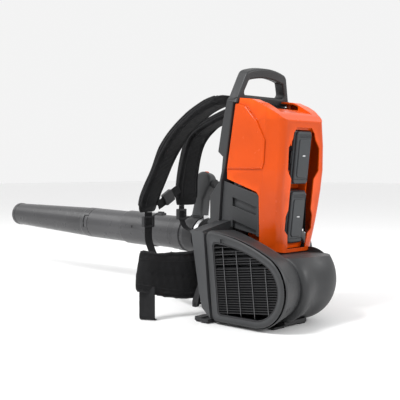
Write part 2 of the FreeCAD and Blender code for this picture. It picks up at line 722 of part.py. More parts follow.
def back_frame():
    """Frame with side members, back plate, waist shelf and a wide lower flange on the left."""
    side = prism_x(SPINE_SIDE, (HALF_W - 17, HALF_W))
    side = fillet(side, 3, lambda e: in_plane(0, HALF_W)(e) and e.BoundBox.ZMin > 210)
    plate_side = [(86, 503), (95, 503), (116, 385), (116, 210), (111, 210), (111, 383)]
    plate = prism_x(plate_side, (-HALF_W + 16, HALF_W - 16))
    shelf_side = [(111, 300), (149, 281), (149, 229), (158, 219), (120, 205), (111, 205)]
    shelf = prism_x(shelf_side, (-HALF_W + 16, HALF_W - 16))
    hollow = prism_x([(104, 290), (144, 277), (144, 233), (150, 224), (122, 210), (104, 210)], (-78, 78))
    shelf = shelf.cut(hollow.common(box((-78, 78), (117, 160), (200, 300))))
    flange_side = [(87, 202), (126, 205), (102, 73), (92, 34), (66, 12), (73, 55)]
    flange = prism_x(flange_side, (FACE_X, 36))
    pocket = prism_x([(95, 194), (140, 196), (140, 80), (82, 62)], (FACE_X + 8, 30))
    wing = prism_y([(FACE_X, 200), (FACE_X, 206), (-HALF_W, 224), (-80, 224), (-80, 200)], (90, 128))
    ribs = [box((x, x + 4), (84, 112), (70, 196)) for x in (-140, -98, -50, -10)]
    pieces = [both_sides(side), plate, shelf, flange.cut(pocket), wing, carry_handle()]
    pieces += [rib.common(flange) for rib in ribs]
    frame = fused(pieces)
    for z in (330, 370, 410, 450):
        y = 100 if z < 400 else 85
        frame = frame.cut(box((-45, 45), (y, y + 35), (z, z + 16)))
    return frame


def cover_section(inset, z, rear_half, rear_y, side_half, side_y):
    """Level section of the cover: a flat rear, rounded corners and flared sides."""
    side = V(side_half - inset, side_y, z)
    corner = V(rear_half - inset, rear_y + inset, z)
    away = side - corner
    away.normalize()
    start = corner - AXIS_X * COVER_CORNER
    end = corner + away * COVER_CORNER
    middle = (start + end) * 0.25 + corner * 0.5
    half = [start, middle, end, side, V(side.x, 99, z)]
    other = [V(-p.x, p.y, p.z) for p in half]
    edges = [
        Part.makeLine(other[0], half[0]),
        Part.Arc(half[0], half[1], half[2]).toShape(),
        Part.makeLine(half[2], half[3]),
        Part.makeLine(half[3], half[4]),
        Part.makeLine(half[4], other[4]),
        Part.makeLine(other[4], other[3]),
        Part.makeLine(other[3], other[2]),
        Part.Arc(other[2], other[1], other[0]).toShape(),
    ]
    return Part.Wire(edges)


def cover_body(inset):
    wires = [cover_section(inset, *station) for station in COVER_STATIONS]
    return Part.makeLoft(wires, True, True)


def top_dish(margin):
    """The hollow in the cover's top that lets air into the vent grille."""
    corners = [(-36, 471 - margin), (9, 484 - margin), (9, 540), (-36, 540)]
    return prism_x(corners, (-58 - margin, 58 + margin))


def battery_cover():
    top = [(-80, 441), (-56, 453), (-40, 467), (-21, 480), (2, 493), (26, 503), (60, 507)]
    outline = [(-80, 160)] + top + [(63, 495), (72, 495), (97.5, 354)]
    outline += [(105, 324), (11, 293), (4.5, 283), (4.5, 170), (-34, 154)]
    limit = prism_x(outline, (-110, 110))
    outer = cover_body(0).common(limit)
    raised_side = [(96, 352), (97, 345), (-7, 345), (-12, 360), (-15, 409), (9, 454), (40, 487)]
    raised_side += [(62, 493), (71, 493)]
    pad = prism_x(raised_side, (88, 96.5))
    pad = fillet(pad, 3.5, in_plane(0, 96.5))
    outer = fused([outer, both_sides(pad)])
    under = [(y, z - 4.5) for y, z in top]
    inside_limit = prism_x([(-80, 140)] + under + [(140, 540), (140, 140)], (-110, 110))
    shell = outer.cut(top_dish(0)).cut(cover_body(WALL).common(inside_limit).cut(top_dish(4)))
    window = [(33, 163), (38, 195), (50, 206), (50, 238), (43, 252), (43, 322)]
    window += [(58, 340), (58, 392), (43, 412), (39, 426), (27, 438)]
    window = prism_y(window + [(-x, z) for x, z in window[::-1]], (-75, -20))
    top_vent = box((-62, 62), (8, 120), (470, 530))
    shell = shell.cut(window).cut(top_vent)
    bosses = both_sides(cylinder(V(80, 50, 478), AXIS_Z, 7, 40)).common(limit)
    shell = fused([shell, bosses])
    for x in (-80, 80):
        shell = shell.cut(cylinder(V(x, 50, 470), AXIS_Z, 3.2, 60))
        shell = shell.cut(cylinder(V(x, 50, 491), AXIS_Z, 5.2, 40))
    turn_room = cylinder(V(60, OUTLET.y, OUTLET.z), AXIS_X, TUBE_R + 5, 80)
    drum = housing_body(-GAP).cut(cover_pocket(GAP / 2))
    shell = shell.cut(turn_room).cut(drum).cut(scroll(-GAP, SCROLL_X))
    return max(shell.Solids, key=lambda solid: solid.Volume)


def side_panel(side):
    """Grey panel below the cover, with two air slots, on one side."""
    outline = [(110.5, 317), (12, 289), (5.5, 282), (5.5, 192), (84, 210), (119.5, 208)]
    panel = prism_x(outline, (87, 90.5))
    panel = fillet(panel, 1.2, in_plane(0, 90.5))
    lip = prism_x([(12, 287), (16, 287), (16, 200), (12, 200)], (80, 87.5))
    for z in (255, 202):
        slot = [(12, z), (83, z + 21), (83, z + 1), (12, z - 19)]
        panel = panel.cut(prism_x([(y, z1 + 4) for y, z1 in slot], (80, 100)))
    backing = prism_x([(14, 287), (14, 195), (96, 210), (96, 305)], (80.5, 82.5))
    whole = fused([panel, lip, backing])
    if side < 0:
        return mirrored(whole).cut(box((-100, -80), (89.5, 130), (200, 224.5)))
    return whole.cut(cylinder(V(60, OUTLET.y, OUTLET.z), AXIS_X, TUBE_R + 5, 80))


def vent_grille():
    """Dark louvred tray between the cover and the frame at the top."""
    tray = prism_x([(12, 470), (66, 495), (66, 491), (12, 466)], (-61, 61))
    fins = []
    for x in range(-54, 60, 12):
        fins.append(prism_x([(14, 470.5), (64, 493.5), (64, 498), (14, 476)], (x, x + 3)))
    openings = []
    for x in range(-48, 50, 12):
        openings.append(box((x, x + 5), (18, 60), (440, 520)))
    return fused([tray] + fins).cut(Part.makeCompound(openings))


def battery_bay():
    """Guide box that the batteries slide into: floor, shelf, walls and finger pockets."""
    y0, y1 = BAY_Y
    z0, z1 = BAY_Z
    outer = box((-BAY_HALF - 2.5, BAY_HALF + 2.5), (y0, y1), (z0, z1))
    rooms = []
    for z in BATTERY_Z:
        rooms.append(box((-BAY_HALF, BAY_HALF), (y0 - 1, y1 - 3), (z - 1.5, z + BATTERY_H + 2)))
    bay = outer.cut(Part.makeCompound(rooms))
    rails = []
    for z in BATTERY_Z:
        for side in (-1, 1):
            low = side * (BATTERY_HALF + 0.8)
            high = side * (BAY_HALF + 0.5)
            x = (min(low, high), max(low, high))
            rails.append(box(x, (y0 + 26, y1 - 1), (z + 12, z + 26)))
        rails.append(box((-20, 20), (y0 + 8, y1 - 1), (z - 2.5, z - 0.4)))
    back_holes = [box((-18, 18), (y1 - 5, y1 + 5), (z + 20, z + 50)) for z in BATTERY_Z]
    fingers = []
    for z in BATTERY_Z:
        m = z + BATTERY_H / 2
        fingers.append(box((-90, 90), (y0 - 1, y0 + 30), (m - 30, m + 26)))
    fingers.append(box((-BAY_HALF, BAY_HALF), (y0 - 1, y0 + 22), (BATTERY_Z[1] + BATTERY_H, BATTERY_Z[0])))
    return tilted(fused([bay] + rails).cut(Part.makeCompound(back_holes + fingers)))


def battery(z):
    """Battery case with a raised end, latch wells and a socket for the terminals."""
    y0, y1 = BATTERY_Y
    case = box((-BATTERY_HALF, BATTERY_HALF), (y0 + 8, y1), (z, z + BATTERY_H))
    case = fillet(case, 4, along(AXIS_Y))
    case = fillet(case, 2, in_plane(1, y0 + 8))
    end = box((-27, 27), (y0 + 2.2, y0 + 9), (z + 1, z + BATTERY_H - 1))
    end = fillet(end, 8, along(AXIS_Y))
    end = fillet(end, 3.5, in_plane(1, y0 + 2.2))
    panel = box((-19, 19), (y0, y0 + 4), (z + 16, z + BATTERY_H - 18))
    panel = fillet(panel, 7, along(AXIS_Y))
    panel = fillet(panel, 1.6, in_plane(1, y0))
    whole = fused([case, end, panel])
    cuts = [box((-24, 24), (y0 + 1, y0 + 3.6), (z + 10.5, z + 12.5))]
    cuts += [box((-22, 22), (y0 + 1, y0 + 3.2), (z + top, z + top + 1.2)) for top in (106, 109, 112)]
    cuts.append(box((-14, 14), (y1 - 14, y1 + 1), (z + 24, z + 46)))
    m = z + BATTERY_H / 2
    well = box((-BATTERY_HALF - 1, -BATTERY_HALF + 7), (y0 + 10, y0 + 30), (m - 14, m + 14))
    rail = box((-BATTERY_HALF - 1, -BATTERY_HALF + 0.2), (y0 + 28, y1 + 1), (z + 10, z + 28))
    cuts += [well, mirrored(well), rail, mirrored(rail)]
    return whole.cut(Part.makeCompound(cuts))


def battery_latch(z, side):
    m = z + BATTERY_H / 2
    y0 = BATTERY_Y[0] + 10.4
    button = box((BATTERY_HALF - 2.5, BATTERY_HALF + 2.5), (y0, y0 + 19.2), (m - 13.6, m + 13.6))
    button = fillet(button, 1.6, in_plane(0, BATTERY_HALF + 2.5))
    return tilted(button if side > 0 else mirrored(button))


def terminal_block(z):
    y1 = BAY_Y[1]
    plate = box((-17.5, 17.5), (y1 - 2.8, y1 + 4), (z + 20.5, z + 49.5))
    tongue = box((-12, 12), (y1 - 19, y1 - 2.8), (z + 28, z + 42))
    blades = [box((x, x + 1), (y1 - 20, y1 - 15), (z + 30, z + 40)) for x in (-9, -4, 1, 6)]
    return tilted(fused([plate, tongue] + blades))


def controller():
    """Motor electronics: a cast box with cooling fins, on the back plate."""
    body = box((-62, 62), (90, 104), (242, 328))
    fins = [box((x, x + 2), (84, 90.5), (246, 324)) for x in range(-58, 62, 9)]
    return fused([body] + fins)


def wiring_loom():
    """Cables from the terminals to the controller and on to the motor."""
    cables = []
    for x in (-8, 0, 8):
        upper = [V(x, 74, 355), V(x, 82, 352), V(x, 96, 346), V(x, 97, 328.4)]
        cables.append(cable(upper, 2.6))
    return Part.makeCompound(cables)


def cable(points, radius):
    """Round cable of straight runs, with a ball at each bend."""
    pieces = []
    for a, b in zip(points, points[1:]):
        pieces.append(Part.makeCylinder(radius, (b - a).Length, a, b - a))
    for p in points[1:-1]:
        pieces.append(Part.makeSphere(radius, p))
    return fused(pieces)


# ---------------------------------------------------------------- base


def base_skid():
    """Runners under the fan unit and the frame, cut round the drum and the intake."""
    rails = [
        box((-16, 16), (-10, 128), (FOOT_H, 12)),
        box((38, 64), (-20, 112), (FOOT_H, 12)),
        box((-140, -25), (-80, -58), (FOOT_H, 12)),
        box((-106, -88), (-80, 112), (FOOT_H, 12)),
        box((-186, 150), (90, 112), (FOOT_H, 12)),
        box((118, 150), (60, 128), (FOOT_H, 12)),
        box((-190, -150), (68, 92), (FOOT_H, 10)),
    ]
    post = prism_x([(92, 11), (112, 11), (112, 30), (100, 60), (92, 60)], (-12, 12))
    web = prism_y([(30, 11), (150, 11), (150, 16), (36, 60), (12, 60), (12, 11)], (94, 98))
    drum = housing_body(-GAP)
    intake = intake_solid(-GAP, (FACE_X - 1, SEAM_X + 1), 15)
    flange_side = [(87, 202), (126, 205), (102, 73), (92, 34), (66, 12), (73, 55)]
    flange = prism_x(flange_side, (FACE_X - 1, 36.3))
    return fused(rails + [post, web]).cut(drum).cut(intake).cut(flange)


def rubber_feet():
    pads = [
        box((-14, 14), (-20, 126), (0, FOOT_H)),
        box((-138, -104), (-79, -60), (0, FOOT_H)),
        box((-50, -27), (-79, -60), (0, FOOT_H)),
        box((120, 148), (92, 126), (0, FOOT_H)),
        box((-184, -152), (92, 110), (0, FOOT_H)),
    ]
    drum = housing_body(-GAP)
    intake = intake_solid(-GAP, (FACE_X - 1, SEAM_X + 1), 15)
    return Part.makeCompound([pad.cut(drum).cut(intake) for pad in pads])


def belt_anchors():
    """Hooks on the lower frame that hold the hip belt and the shoulder webbing."""
    arm = prism_x([(106, 84), (112, 84), (130, 44), (130, 30), (118, 30), (112, 40), (104, 74)], (-176, -168))
    pin = cylinder(V(-178, 124, 36), AXIS_X, 3, 130)
    return fused([arm, pin])


# ---------------------------------------------------------------- harness

LEFT_PAD = [(102, 512), (154, 501), (206, 480), (247, 456), (286, 425), (315, 393), (343, 347)]
LEFT_PAD += [(366, 308), (389, 264), (394, 226)]
RIGHT_PAD = [(102, 512), (154, 504), (206, 494), (270, 476), (330, 450), (358, 423), (371, 396)]
RIGHT_PAD += [(383, 355), (391, 314), (394, 259), (393, 240)]


LEFT_WEBBING = [(393, 191), (388, 150), (345, 95), (255, 50), (170, 30), (116, 24)]
RIGHT_WEBBING = [(392, 205), (377, 187), (340, 178), (250, 173), (157, 172)]


def strap_adjuster(end, x):
    frame = box((x[0] - 5, x[1] + 5), (end[0] - 6, end[0] + 4), (end[1] - 34, end[1] - 4))
    frame = fillet(frame, 2.5, along(AXIS_Y))
    hole = box((x[0] - 1, x[1] + 1), (end[0] - 10, end[0] + 8), (end[1] - 28, end[1] - 10))
    return frame.cut(hole)


def back_pad():
    side = [(122, 330), (131, 345), (131, 370), (124, 400), (112, 455), (106, 478)]
    side += [(99.5, 478), (118.5, 385), (118.5, 330)]
    return prism_x(side, (-72, 72))


def lumbar_pad():
    side = [(130, 206), (146, 203), (150, 150), (140, 100), (128, 66), (106, 66), (128, 196)]
    return prism_x(side, (-112, 48))


LEFT_WING = [(-122, 158), (-165, 170), (-215, 186), (-270, 205)]
RIGHT_WING = [(52, 160), (62, 200), (66, 250), (64, 318)]


def on_hip(shape):
    """Carry a shape drawn along X from the origin to the free end of the hip belt."""
    turned = shape.copy()
    turned.Placement = FreeCAD.Placement(HIP_END, FreeCAD.Rotation(AXIS_X, HIP_ALONG))
    return turned


def hip_webbing():
    hang = box((1, 40), (-1, 1), (0, 49.6))
    fold = box((1, 40), (-1, 16), (0, 4))
    return on_hip(fused([hang, fold]))


HIP_END, HIP_ALONG = V(-265, 214, 0), V(19, -36, 0)
CHEST_LEFT, CHEST_RIGHT = V(-29.5, 391, 253.5), V(29.5, 391.5, 286.5)


def on_chest_strap(shape):
    """Carry a shape drawn along X from the origin onto the sloping chest strap."""
    turned = shape.copy()
    turned.Placement = FreeCAD.Placement(CHEST_LEFT, FreeCAD.Rotation(AXIS_X, CHEST_RIGHT - CHEST_LEFT))
    return turned


def chest_strap():
    length = (CHEST_RIGHT - CHEST_LEFT).Length
    return on_chest_strap(box((0, length), (-1, 1), (-12.5, 12.5)))


def chest_buckle():
    body = box((14, 48), (-5, 5), (-16, 16))
    body = fillet(body, 3, along(AXIS_Y))
    return on_chest_strap(body.cut(box((13, 49), (-1.5, 1.5), (-13, 13))))


def cover_screws():
    """Screws at the cover's top corners and round the intake's seam."""
    heads = []
    for x in (-80, 80):
        shank = cylinder(V(x, 50, 471), AXIS_Z, 2.5, 21)
        heads.append(shank.fuse(cylinder(V(x, 50, 491.2), AXIS_Z, 4.6, 3)).removeSplitter())
    return Part.makeCompound(heads)


def main():
    os.makedirs("parts", exist_ok=True)
    save(intake_housing(), "intake_housing")
    save(intake_grille(), "intake_grille")
    save(fan_housing(), "fan_housing")
    save(diffuser(), "diffuser")
    save(motor_can(), "motor_can")
    save(motor_stator(), "motor_stator")
    save(motor_rotor(), "motor_rotor")
    save(motor_shaft(), "motor_shaft")
    save(bearings(), "bearings")
    save(impeller(), "impeller")
    save(fan_nut(), "fan_nut")
    save(outlet_elbow(), "outlet_elbow")
    save(bellows(), "bellows")
    cuff = DUCT_R + 6.2
    save(clamp_band(BELLOWS_S[0] + 3, cuff), "rear_hose_clamp")
    save(clamp_band(BELLOWS_S[1] - 16, cuff), "front_hose_clamp")
    save(base_pipe(), "base_pipe")
    save(tube_collar(), "tube_collar")
    save(lock_button(), "lock_button")
    save(mid_tube(), "mid_tube")
    save(nozzle(), "nozzle")
    save(handle_clamp(), "handle_clamp")
    save(handle_half(-1), "handle_shell_left")
    save(handle_half(1), "handle_shell_right")
    save(trigger(), "trigger")
    save(trigger_pin(), "trigger_pin")
    save(speed_switch(), "speed_switch")
    save(speed_dial(), "speed_dial")
    save(stop_button(), "stop_button")
    save(back_frame(), "back_frame")
    save(battery_cover(), "battery_cover")
    save(side_panel(-1), "left_side_panel")
    save(side_panel(1), "right_side_panel")
    save(vent_grille(), "vent_grille")
    save(battery_bay(), "battery_bay")
    for name, z in zip(("upper", "lower"), BATTERY_Z):
        save(tilted(battery(z)), name + "_battery")
        save(battery_latch(z, -1), name + "_latch_left")
        save(battery_latch(z, 1), name + "_latch_right")
    save(Part.makeCompound([terminal_block(z) for z in BATTERY_Z]), "terminal_blocks")
    save(controller(), "controller")
    save(wiring_loom(), "wiring_loom")
    save(cover_screws(), "cover_screws")
    save(base_skid(), "base_skid")
    save(rubber_feet(), "rubber_feet")
    save(belt_anchors(), "belt_anchors")
    save(side_band(LEFT_PAD, PAD_HALF_T, LEFT_PAD_X), "left_shoulder_pad")
    save(side_band(RIGHT_PAD, PAD_HALF_T, RIGHT_PAD_X), "right_shoulder_pad")
    left, right = (-86, -60), (38, 58)
    adjusters = [strap_adjuster(LEFT_PAD[-1], left), strap_adjuster(RIGHT_PAD[-1], right)]
    save(Part.makeCompound(adjusters), "strap_adjusters")
    half = WEBBING_T / 2
    webbing = [side_band(LEFT_WEBBING, half, left), side_band(RIGHT_WEBBING, half, right)]
    save(Part.makeCompound(webbing), "lower_webbing")
    save(chest_strap(), "chest_strap")
    save(chest_buckle(), "chest_buckle")
    save(back_pad(), "back_pad")
    save(lumbar_pad(), "lumbar_pad")
    save(plan_band(LEFT_WING, 7, LEFT_HIP_Z), "left_hip_wing")
    save(plan_band(RIGHT_WING, 6, RIGHT_HIP_Z), "right_hip_wing")
    save(hip_webbing(), "hip_webbing")


main()
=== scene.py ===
import json
import math

import bpy
import numpy as np
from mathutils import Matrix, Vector


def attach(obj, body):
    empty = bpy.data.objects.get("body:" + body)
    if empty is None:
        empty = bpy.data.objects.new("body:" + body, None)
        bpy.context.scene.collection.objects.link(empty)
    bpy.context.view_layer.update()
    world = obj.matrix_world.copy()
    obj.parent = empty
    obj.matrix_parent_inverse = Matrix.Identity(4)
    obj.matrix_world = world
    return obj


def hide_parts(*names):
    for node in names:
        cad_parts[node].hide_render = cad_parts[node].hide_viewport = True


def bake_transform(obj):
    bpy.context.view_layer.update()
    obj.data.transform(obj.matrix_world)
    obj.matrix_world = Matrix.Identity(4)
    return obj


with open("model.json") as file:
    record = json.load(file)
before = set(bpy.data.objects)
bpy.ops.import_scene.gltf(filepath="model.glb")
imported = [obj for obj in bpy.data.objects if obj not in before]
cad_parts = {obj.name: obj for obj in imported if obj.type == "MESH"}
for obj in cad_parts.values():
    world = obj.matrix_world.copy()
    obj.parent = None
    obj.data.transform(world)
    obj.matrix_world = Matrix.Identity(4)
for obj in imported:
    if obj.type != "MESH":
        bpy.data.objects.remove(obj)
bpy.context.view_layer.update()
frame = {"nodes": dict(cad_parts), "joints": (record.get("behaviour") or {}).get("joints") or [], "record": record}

# Looks of a backpack leaf blower, in metres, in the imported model's frame: +X is the wearer's
# right, +Y forward along the air tube, +Z up.

NODES = frame["nodes"]
TWIST = next(joint for joint in frame["joints"] if joint["name"] == "nozzle_twist")
TUBE_DIR = Vector(TWIST["axis"]).normalized()
TUBE_POINT = Vector(TWIST["pos_m"])
X_AXIS = Vector((1, 0, 0))
Z_AXIS = Vector((0, 0, 1))

# ---------------------------------------------------------------- camera, floor and lights

EYE = Vector((-1.424, -1.100, 0.347))
HEADING = math.radians(46.0)
PITCH = math.radians(2.38)
LENS = 69.3
SENSOR_WIDTH = 36.0
FAR_CLIP = 50

FLOOR_HALF = 14.0
WORLD_STRENGTH = 0.9
LIT_POINT = (0, 0.1, 0.25)
LIGHTS = {  # place, diameter and power
    "key": ((-1.9, 0.3, 2.3), 0.8, 60),
    "rear_fill": ((1.2, -2.0, 1.6), 0.7, 26),
    "front_fill": ((-1.0, 2.8, 1.9), 1.6, 16),
}


def make_camera():
    camera = bpy.data.objects.new("Camera", bpy.data.cameras.new("Camera"))
    bpy.context.scene.collection.objects.link(camera)
    level = Vector((math.sin(HEADING), math.cos(HEADING), 0))
    look = level * math.cos(PITCH) - Vector((0, 0, math.sin(PITCH)))
    camera.location = EYE
    camera.rotation_mode = "QUATERNION"
    camera.rotation_quaternion = look.to_track_quat("-Z", "Y")
    camera.data.lens = LENS
    camera.data.sensor_width = SENSOR_WIDTH
    camera.data.clip_end = FAR_CLIP
    bpy.context.scene.camera = camera


def area_light(name, place, size, power):
    light = bpy.data.objects.new(name, bpy.data.lights.new(name, "AREA"))
    light.data.shape = "DISK"
    light.data.size = size
    light.data.energy = power
    light.location = place
    light.rotation_mode = "QUATERNION"
    light.rotation_quaternion = (Vector(LIT_POINT) - Vector(place)).to_track_quat("-Z", "Y")
    bpy.context.scene.collection.objects.link(light)


def make_stage():
    mesh = bpy.data.meshes.new("floor")
    corners = ((-1, -1), (1, -1), (1, 1), (-1, 1))
    mesh.from_pydata([(x * FLOOR_HALF, y * FLOOR_HALF, 0) for x, y in corners], [], [(0, 1, 2, 3)])
    floor = bpy.data.objects.new("floor", mesh)
    bpy.context.scene.collection.objects.link(floor)
    material, _, shader = blank_material("floor_paper")
    shader.inputs["Base Color"].default_value = (0.93, 0.93, 0.93, 1)
    shader.inputs["Roughness"].default_value = 0.55
    shader.inputs["Specular IOR Level"].default_value = 0.2
    mesh.materials.append(material)
    world = bpy.data.worlds.new("studio")
    bpy.context.scene.world = world
    world.use_nodes = True
    background = world.node_tree.nodes["Background"]
    background.inputs["Color"].default_value = WHITE
    background.inputs["Strength"].default_value = WORLD_STRENGTH
    for name, (place, size, power) in LIGHTS.items():
        area_light(name, place, size, power)
    bpy.context.scene.view_settings.view_transform = "Standard"


# ---------------------------------------------------------------- materials

BLACK = (0, 0, 0, 1)
WHITE = (1, 1, 1, 1)
CLOUD_LOW, CLOUD_HIGH = 0.3, 0.7  # the part of a noise's range that is spread out
WEAR_AND_HIGHLIGHT_LOW, WEAR_AND_HIGHLIGHT_HIGH = 0.515, 0.60  # pointiness where paler edges start, and where they are full: partly edge wear, partly a painted highlight on rims
TONE_SCALE, SMEAR_SCALE = 9.0, 45.0
METAL_TONE_SCALE, METAL_SMEAR_SCALE, BRUSH_SCALE = 60.0, 400.0, 900.0
FADE_SCALE = 22.0
EDGE_RADIUS = 0.0011
GRAIN_SIZE = 0.0006
BRUSHING = 0.00005
WAVES_PER_THREAD = 0.31
THREAD_TURNS = ((0.3, 0.2, 0.785), (0.4, -0.3, -0.785))
FADED = (0.35, 0.35, 0.35, 1)
WRINKLE = 0.0012


def blank_material(name):
    material = bpy.data.materials.new(name)
    material.use_nodes = True
    tree = material.node_tree
    return material, tree, tree.nodes["Principled BSDF"]


def add_node(tree, kind, inputs=None, **settings):
    made = tree.nodes.new("ShaderNode" + kind)
    for key, value in settings.items():
        setattr(made, key, value)
    for key, value in (inputs or {}).items():
        made.inputs[key].default_value = value
    return made


def shade(colour, factor):
    return tuple(min(1.0, c * factor) for c in colour) + (1.0,)


def object_coordinates(tree):
    return add_node(tree, "TexCoord").outputs["Object"]


def noise_at(tree, where, scale, detail=3.0, roughness=0.5):
    settings = {"Scale": scale, "Detail": detail, "Roughness": roughness}
    made = add_node(tree, "TexNoise", settings)
    tree.links.new(where, made.inputs["Vector"])
    return made.outputs["Fac"]


def ramp(tree, value, low, high, first, second):
    """Colour ramp between two colours, from low to high of value."""
    made = add_node(tree, "ValToRGB")
    made.color_ramp.elements[0].position = low
    made.color_ramp.elements[1].position = high
    made.color_ramp.elements[0].color = first
    made.color_ramp.elements[1].color = second
    tree.links.new(value, made.inputs["Fac"])
    return made.outputs["Color"]


def remap(tree, value, low, high):
    """A noise value spread from low to high."""
    ends = {"From Min": CLOUD_LOW, "From Max": CLOUD_HIGH, "To Min": low, "To Max": high}
    made = add_node(tree, "MapRange", ends)
    tree.links.new(value, made.inputs["Value"])
    return made.outputs["Result"]


def mix_colour(tree, factor, first, second):
    """Blend of a linked first colour and a fixed second one."""
    made = add_node(tree, "Mix", data_type="RGBA")
    tree.links.new(factor, made.inputs["Factor"])
    sockets = {s.name: s for s in made.inputs if s.type == "RGBA"}
    tree.links.new(first, sockets["A"])
    sockets["B"].default_value = second
    return [s for s in made.outputs if s.type == "RGBA"][0]


def bump(tree, shader, height, distance, strength, below=None):
    made = add_node(tree, "Bump", {"Strength": strength, "Distance": distance})
    tree.links.new(height, made.inputs["Height"])
    if below is not None:
        tree.links.new(below, made.inputs["Normal"])
    tree.links.new(made.outputs["Normal"], shader.inputs["Normal"])
    return made.outputs["Normal"]


def moulded(name, colour, roughness, grain=0.00012, wear_and_highlight=1.35, gloss=0.32):
    """Moulded plastic: fine texture, slight tone and gloss variation, and paler edges that are partly wear and
    partly a painted highlight on the rims.
    """
    material, tree, shader = blank_material(name)
    where = object_coordinates(tree)
    cloud = noise_at(tree, where, TONE_SCALE, 4.0)
    tone = ramp(tree, cloud, CLOUD_LOW, CLOUD_HIGH, shade(colour, 0.92), shade(colour, 1.08))
    # Sharp edges get a paler colour by pointiness: partly edge wear, partly a painted highlight standing in for
    # light on the rims.
    edge = add_node(tree, "NewGeometry").outputs["Pointiness"]
    worn_and_highlit = ramp(tree, edge, WEAR_AND_HIGHLIGHT_LOW, WEAR_AND_HIGHLIGHT_HIGH, BLACK, WHITE)
    mixed = mix_colour(tree, worn_and_highlit, tone, shade(colour, wear_and_highlight))
    tree.links.new(mixed, shader.inputs["Base Color"])
    shader.inputs["Specular IOR Level"].default_value = gloss
    smear = noise_at(tree, where, SMEAR_SCALE, 5.0, 0.6)
    dullness = remap(tree, smear, roughness - 0.05, roughness + 0.06)
    tree.links.new(dullness, shader.inputs["Roughness"])
    rounded = add_node(tree, "Bevel", {"Radius": EDGE_RADIUS}, samples=4).outputs["Normal"]
    bump(tree, shader, noise_at(tree, where, 1.0 / GRAIN_SIZE, 2.0), grain, 0.6, rounded)
    return material


def metal(name, colour, roughness):
    """Bare metal: slight tone and gloss variation, and a very fine surface."""
    material, tree, shader = blank_material(name)
    where = object_coordinates(tree)
    cloud = noise_at(tree, where, METAL_TONE_SCALE, 4.0)
    tone = ramp(tree, cloud, CLOUD_LOW, CLOUD_HIGH, shade(colour, 0.9), shade(colour, 1.06))
    tree.links.new(tone, shader.inputs["Base Color"])
    shader.inputs["Metallic"].default_value = 1.0
    smear = noise_at(tree, where, METAL_SMEAR_SCALE)
    dullness = remap(tree, smear, roughness - 0.06, roughness + 0.1)
    tree.links.new(dullness, shader.inputs["Roughness"])
    bump(tree, shader, noise_at(tree, where, BRUSH_SCALE), BRUSHING, 0.5)
    return material


def weave(tree, where, thread):
    """Two crossed sets of diagonal waves, one thread apart, on any surface direction."""
    bands = []
    for turn in THREAD_TURNS:
        mapping = add_node(tree, "Mapping", {"Rotation": turn})
        tree.links.new(where, mapping.inputs["Vector"])
        settings = {"Scale": WAVES_PER_THREAD / thread, "Distortion": 0.6, "Detail": 1.0}
        wave = add_node(tree, "TexWave", settings)
        tree.links.new(mapping.outputs["Vector"], wave.inputs["Vector"])
        bands.append(wave.outputs["Fac"])
    both = add_node(tree, "Math", operation="MULTIPLY")
    tree.links.new(bands[0], both.inputs[0])
    tree.links.new(bands[1], both.inputs[1])
    return both.outputs["Value"]


def cloth(name, colour, thread, depth, sheen):
    """Woven fabric: crossed threads, faded high spots and soft sheen."""
    material, tree, shader = blank_material(name)
    where = object_coordinates(tree)
    threads = weave(tree, where, thread)
    tone = ramp(tree, threads, 0.05, 0.6, shade(colour, 0.55), shade(colour, 1.5))
    cloud = noise_at(tree, where, FADE_SCALE, 5.0, 0.6)
    faded = ramp(tree, cloud, 0.45, 0.8, BLACK, FADED)
    mixed = mix_colour(tree, faded, tone, shade(colour, 2.2))
    tree.links.new(mixed, shader.inputs["Base Color"])
    shader.inputs["Roughness"].default_value = 0.92
    shader.inputs["Sheen Weight"].default_value = sheen
    shader.inputs["Sheen Roughness"].default_value = 0.5
    shader.inputs["Specular IOR Level"].default_value = 0.25
    wrinkle = bump(tree, shader, cloud, WRINKLE, 0.5)
    bump(tree, shader, threads, depth, 0.7, wrinkle)
    return material


ORANGE = (0.53, 0.058, 0.002)
GREY = (0.029, 0.030, 0.0315)
CHARCOAL = (0.011, 0.011, 0.012)
TUBE_GREY = (0.040, 0.040, 0.042)
CASE_GREY = (0.036, 0.040, 0.044)
RUBBER = (0.012, 0.012, 0.013)
FABRIC = (0.007, 0.007, 0.0078)
WEBBING = (0.0115, 0.0115, 0.0125)
# Pale grey of the thin rods on the grille's ribs: a painted highlight for light on the rib edges.
RIB_HIGHLIGHT_GREY = (0.085, 0.085, 0.088)
LENS_WHITE = (0.55, 0.57, 0.58)
STEEL = (0.66, 0.66, 0.67)
ALUMINIUM = (0.5, 0.51, 0.52)
COPPER = (0.6, 0.3, 0.17)
MAGNET = (0.35, 0.35, 0.37)

MATERIALS = {
    # The edge factor of each plastic brightens its sharp edges: partly wear, partly a painted highlight.
    "orange_shell": moulded("orange_shell", ORANGE, 0.22, grain=0.00002, wear_and_highlight=1.5, gloss=0.26),
    "grey_plastic": moulded("grey_plastic", GREY, 0.46, wear_and_highlight=1.7),
    "dark_plastic": moulded("dark_plastic", CHARCOAL, 0.42, wear_and_highlight=1.9),
    "tube_plastic": moulded("tube_plastic", TUBE_GREY, 0.30, grain=0.00006, wear_and_highlight=1.5),
    "battery_case": moulded("battery_case", CASE_GREY, 0.36, grain=0.00006, wear_and_highlight=1.6),
    "black_rubber": moulded("black_rubber", RUBBER, 0.65, grain=0.0002, wear_and_highlight=1.3),
    "bright_steel": metal("bright_steel", STEEL, 0.28),
    "cast_aluminium": metal("cast_aluminium", ALUMINIUM, 0.45),
    "copper_steel": metal("copper_steel", COPPER, 0.35),
    "magnet_steel": metal("magnet_steel", MAGNET, 0.3),
    "black_fabric": cloth("black_fabric", FABRIC, 0.0018, 0.0005, 0.06),
    "webbing": cloth("webbing", WEBBING, 0.0011, 0.0004, 0.048),
}


